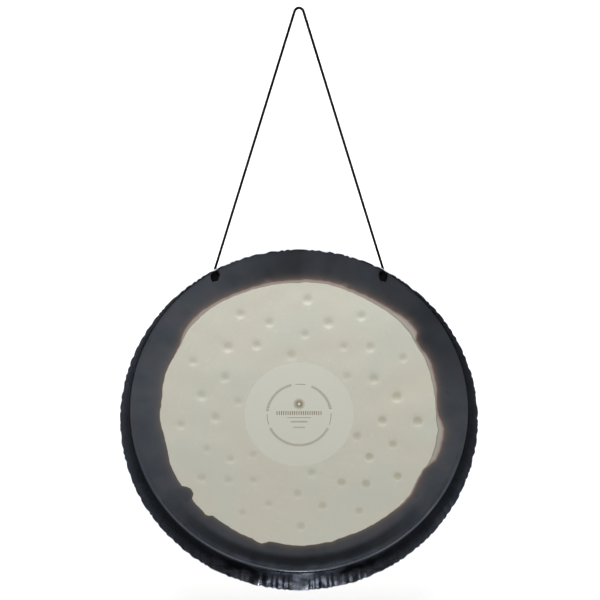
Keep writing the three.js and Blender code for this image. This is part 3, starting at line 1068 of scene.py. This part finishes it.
@dataclass
class BraidedCord:
    """The cord's size and the tree that makes any stretch of it.

    Attributes:
        diameter: The cord's diameter.
        sides: Vertices round the cord.
        step: Length between the rings of vertices.
        relief: Height of the braid.
        fullness: How much fuller than its nominal size a braid lies.
    """

    diameter: float = 0.005
    sides: int = 24
    step: float = 0.0011
    relief: float = 0.00035
    fullness: float = 1.10
    finish: CordFinish = field(default_factory=CordFinish)

    def __post_init__(self) -> None:
        """Write the tree and the material once for every stretch."""
        self.material = self.finish.make()
        self.tree = self.braiding_tree()

    def braiding_tree(self) -> GeometryTree:
        """Write the tree that lays a braided tube along a curve."""
        tree = GeometryTree(
            "braiding",
            {"Radius": float, "Sides": int, "Step": float, "Relief": float, "Cord": bpy.types.Material},
        )
        given = tree.given
        inputs = {"Curve": given["Geometry"], "Length": given["Step"]}
        line = tree.out("GeometryNodeResampleCurve", inputs, mode="LENGTH")
        line = tree.store(line, "along", tree.out("GeometryNodeSplineParameter", output="Length"))
        inputs = {"Resolution": given["Sides"], "Radius": 1.0}
        circle = tree.out("GeometryNodeCurvePrimitiveCircle", inputs)
        section = tree.store(circle, "around", tree.out("GeometryNodeInputIndex") / given["Sides"])
        scale = tree.out("GeometryNodeInputRadius") * given["Radius"]
        inputs = {"Curve": line, "Profile Curve": section, "Fill Caps": True, "Scale": scale}
        tube = tree.out("GeometryNodeCurveToMesh", inputs)
        height = (braid_height(tree, self.finish.plaits, self.finish.pitch) - 0.3) * given["Relief"]
        normal = tree.out("GeometryNodeInputNormal")
        tree.end(tree.move(tube, tree.scaled(normal, height)), given["Cord"])
        return tree

    def lay(self, name: str, route: Sequence[Vector], rounded_ends: bool) -> bpy.types.Object:
        """Make a braided tube along a route.

        Args:
            name: The piece's name.
            route: The points that the cord's middle line follows.
            rounded_ends: Whether the last radius of each end is rounded like a ball.

        Returns:
            The new object.
        """
        curve = bpy.data.curves.new(name + "_route", "CURVE")
        curve.dimensions = "3D"
        spline = curve.splines.new("POLY")
        spline.points.add(len(route) - 1)
        for point, place in zip(spline.points, route):
            point.co = (*place, 1.0)
        holder = link_object(name + "_route", curve)
        values = {"Radius": self.fullness * self.diameter / 2, "Sides": self.sides, "Step": self.step,
                  "Relief": self.relief, "Cord": self.material}
        mesh = self.tree.run(holder, values)
        bpy.data.objects.remove(holder)
        mesh.name = name
        if rounded_ends:
            self.round_ends(mesh, route)
        dress(mesh, self.material)
        smooth_shading(mesh, CORD_SHARP_DEGREES)
        return link_object(name, mesh)

    def round_ends(self, mesh: bpy.types.Mesh, route: Sequence[Vector]) -> None:
        """Draw the vertices of each end in, so that it is a half ball."""
        reach = self.diameter / 2
        for end, inner in ((route[0], route[1]), (route[-1], route[-2])):
            inwards = (inner - end).normalized()
            for vertex in mesh.vertices:
                apart = vertex.co - end
                depth = apart.dot(inwards)
                if apart.length < 2 * reach and depth < reach:
                    share = max(depth, 0.0) / reach
                    across = apart - inwards * depth
                    vertex.co -= across * (1.0 - math.sqrt(max(0.0, 1.0 - (1.0 - share) ** 2)))


@dataclass
class HangingSling:
    """The cord from one rim hole over the hook to the other, and the stopper knots inside the rim."""

    braid: BraidedCord
    hole_reach: float = 0.190
    bend: float = 0.010
    knot_turns: float = 3.25
    wrap_width: float = 0.0070
    wrap_depth: float = 0.0052

    @property
    def hole_z(self) -> float:
        """Height of the rim holes."""
        return tilt_height()

    def route(self) -> list[Vector]:
        """Return the middle line of the cord from the left hole over the hook to the right hole."""
        centre_z = self.braid.diameter / 2 - self.bend
        reach = math.hypot(self.hole_reach, centre_z - self.hole_z)
        lean = math.atan2(self.hole_reach, centre_z - self.hole_z) - math.asin(self.bend / reach)
        bow = []
        steps = 14
        for step in range(steps + 1):
            angle = math.pi - lean - step / steps * (math.pi - 2 * lean)
            bow.append(Vector((self.bend * math.cos(angle), 0.0, centre_z + self.bend * math.sin(angle))))
        down = Vector((math.sin(lean), 0.0, -math.cos(lean)))
        right_end = Vector((self.hole_reach, 0.0, self.hole_z)) + down * self.braid.diameter / 2
        legs = 12
        right = [bow[-1].lerp(right_end, step / legs) for step in range(1, legs + 1)]
        left = [Vector((-p.x, p.y, p.z)) for p in reversed(right)]
        return [*left, *bow, *right]

    def knot_route(self, side: Side) -> list[Vector]:
        """Return the middle line of one stopper knot.

        The cord comes down through the hole, wraps round itself from the bottom up, and its end passes
        down through the wraps and comes out below them.

        Args:
            side: The knot's side; the right knot is the left one mirrored.

        Returns:
            Points in the row frame.
        """
        top, low = -0.0088, -0.0232
        pair = 0.0026
        down = ((0.0, -0.0029), (-0.4 * pair, -0.0050), (-pair, -0.0090), (-pair, -0.0165),
                (-pair, low + 0.0005))
        points = [*(Vector((x, 0.0, z)) for x, z in down), Vector((-1.6 * pair, -0.0012, low - 0.0012))]
        per_turn = 14
        steps = round(self.knot_turns * per_turn)
        for step in range(steps + 1):
            angle = math.pi + 2 * math.pi * step / per_turn
            height = low + (top - low) * step / steps
            taper = 0.52 + 0.48 * math.sin(math.pi * (0.08 + 0.80 * step / steps))
            across, front = taper * self.wrap_width, taper * self.wrap_depth
            points.append(Vector((across * math.cos(angle), front * math.sin(angle), height)))
        last = points[-1]
        out = ((pair, top - 0.0010), (pair, -0.0165), (pair, low), (0.9 * pair, low - 0.0012))
        points.append(Vector((0.7 * last.x, 0.55 * last.y, top + 0.0016)))
        points += [Vector((x, 0.0, z)) for x, z in out]
        hole = Vector((side.value * self.hole_reach, 0.0, self.hole_z))
        mirrored = -side.value
        return [hole + Vector((mirrored * p.x, p.y, p.z)) for p in smooth_line(points, 5)]

    def build_cord(self) -> bpy.types.Object:
        """Make the cord as one piece that goes over the hook.

        Returns:
            The finished object.
        """
        route = self.route()
        cord = self.braid.lay("hanging_cord", route, rounded_ends=True)
        length = sum((b - a).length for a, b in zip(route, route[1:]))
        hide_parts("cord_bight", "left_cord_leg", "right_cord_leg")
        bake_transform(cord)
        self.cord, self.length = cord, length
        return cord

    def build_knots(self) -> list[bpy.types.Object]:
        """Returns:
            The knots.
        """
        knots = []
        for side in Side:
            name = side.name.lower()
            knot = self.braid.lay(f"{name}_stopper_knot", self.knot_route(side), rounded_ends=False)
            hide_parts(f"{name}_knot")
            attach(knot, Body.GONG.value)
            knots.append(knot)
        return knots


def smooth_line(points: Sequence[Vector], between: int) -> list[Vector]:
    """Return a Catmull-Rom line through the points.

    Args:
        points: The points to pass through.
        between: Steps from one point to the next.

    Returns:
        The denser line.
    """
    line = []
    padded = [2 * points[0] - points[1], *points, 2 * points[-1] - points[-2]]
    for a, b, c, d in zip(padded, padded[1:], padded[2:], padded[3:]):
        for step in range(between):
            t = step / between
            bend, twist = 2 * a - 5 * b + 4 * c - d, 3 * b - a - 3 * c + d
            line.append(0.5 * (2 * b + (c - a) * t + bend * t * t + twist * t**3))
    line.append(points[-1].copy())
    return line


# Studio


@dataclass(frozen=True)
class SoftBox:
    """One large soft light, aimed at a point.

    Attributes:
        name: The light's name.
        place: Where its middle is.
        aim: The point it faces.
        width: Its width.
        height: Its height.
        watts: Its power.
        spread: How wide it throws, in degrees.
    """

    name: str
    place: tuple[float, float, float]
    aim: tuple[float, float, float]
    width: float
    height: float
    watts: float
    spread: float = 180.0

    def make(self) -> None:
        """Add the light to the scene."""
        light = bpy.data.lights.new(self.name, "AREA")
        light.shape = "RECTANGLE"
        light.size = self.width
        light.size_y = self.height
        light.energy = self.watts
        light.spread = math.radians(self.spread)
        lamp = link_object(self.name, light)
        lamp.location = self.place
        lamp.rotation_euler = (Vector(self.aim) - Vector(self.place)).to_track_quat("-Z", "Y").to_euler()


@dataclass
class Studio:
    """The pale floor, the soft light and the camera.

    Attributes:
        floor_z: Height of the floor, a little below the gong.
        camera_place: Where the camera stands.
        camera_pitch: How far it looks down, in degrees.
        camera_lens: Focal length in millimetres on a 36 mm sensor.
    """

    floor_z: float = -1.48
    sweep_width: float = 40.0
    camera_place: tuple[float, float, float] = (0.0022, -2.848, 0.019)
    camera_pitch: float = 13.07
    camera_lens: float = 77.53
    boxes: tuple[SoftBox, ...] = (
        SoftBox("window", (-0.8, -7.0, 0.45), (-0.8, 0.0, 0.45), 9.0, 3.6, 142.0),
        SoftBox("front_box", (-0.1, -3.4, 2.7), (0.0, 0.0, -1.0), 1.2, 1.2, 76.0),
        SoftBox("backdrop_box", (0.0, 1.8, 3.4), (0.0, 4.0, -1.4), 3.0, 3.0, 226.0, 92.0),
    )

    def place_camera(self) -> None:
        """Add the camera."""
        data = bpy.data.cameras.new("camera")
        data.lens = self.camera_lens
        data.sensor_width = 36.0
        data.clip_end = 200.0
        camera = link_object("camera", data)
        camera.location = self.camera_place
        camera.rotation_euler = (math.radians(90.0 - self.camera_pitch), 0.0, 0.0)
        bpy.context.scene.camera = camera

    def light(self) -> None:
        """Add the floor, the world and the soft boxes."""
        scene = bpy.context.scene
        scene.view_settings.view_transform = "Standard"
        world = bpy.data.worlds.new("studio")
        world.use_nodes = True
        background = world.node_tree.nodes["Background"].inputs
        background["Color"].default_value = (1.0, 1.0, 1.0, 1.0)
        background["Strength"].default_value = WORLD_STRENGTH
        scene.world = world
        floor = link_object("paper_sweep", self.sweep())
        floor.data.materials.append(self.floor_finish())
        for box in self.boxes:
            box.make()

    def sweep(self) -> bpy.types.Mesh:
        """Return a floor that curves up into a backdrop."""
        half, front, back, bend, top = self.sweep_width / 2, -12.0, 4.0, 3.0, 7.0
        line = [(front, 0.0)]
        for step in range(33):
            angle = step / 32 * math.pi / 2
            line.append((back + bend * math.sin(angle), bend * (1 - math.cos(angle))))
        line.append((back + bend, top))
        vertices = [(x, y, self.floor_z + z) for y, z in line for x in (-half, half)]
        faces = [(2 * i, 2 * i + 1, 2 * i + 3, 2 * i + 2) for i in range(len(line) - 1)]
        mesh = new_mesh("paper_sweep", vertices, faces)
        mesh.polygons.foreach_set("use_smooth", [True] * len(mesh.polygons))
        return mesh

    def floor_finish(self) -> bpy.types.Material:
        """Return the floor's pale paint, with painted light behind the gong and painted shade at the foot of
        the backdrop.
        """
        graph = Surface("pale_floor", {"Roughness": 0.9, "Specular IOR Level": 0.1})
        _, away, height = graph.split(graph.spot)
        tone = graph.smooth(graph.noise(graph.spot, 3.0, 2.0), 0.2, 0.8)
        near = graph.blend(tone, (0.76, 0.76, 0.76), (0.78, 0.78, 0.78))
        # Painted light: lighter paint just behind the gong, where its shadow falls.
        under = graph.blend(graph.smooth(away, -0.3, 0.1), near, (0.87, 0.87, 0.87))
        # Painted shade: darker paint on the floor at the foot of the backdrop, where the backdrop box lights
        # it most.
        far = graph.blend(graph.smooth(height, -1.2, 0.0), (0.56, 0.56, 0.56), (0.80, 0.80, 0.80))
        return graph.finish(Base_Color=graph.blend(graph.smooth(away, 0.3, 1.8), under, far))


def report(piece: bpy.types.Object) -> None:
    """Log a piece's name and how many triangles it has."""
    triangles = sum(len(polygon.vertices) - 2 for polygon in piece.data.polygons)
    LOG.info("%s: %d triangles, materials %s", piece.name, triangles, [m.name for m in piece.data.materials])


def main() -> None:
    """Build the gong and its studio, and report each piece."""
    logging.basicConfig(level=logging.INFO, format="%(name)s: %(message)s")
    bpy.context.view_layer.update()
    studio = Studio()
    studio.place_camera()
    sling = HangingSling(BraidedCord())
    pieces = [sling.build_cord(), *sling.build_knots()]
    shell = GongShell()
    pieces += [shell.build(), CentrePrint(shell).build()]
    studio.light()
    for piece in pieces:
        report(piece)
    bpy.context.view_layer.update()


if __name__ == "__main__":
    main()
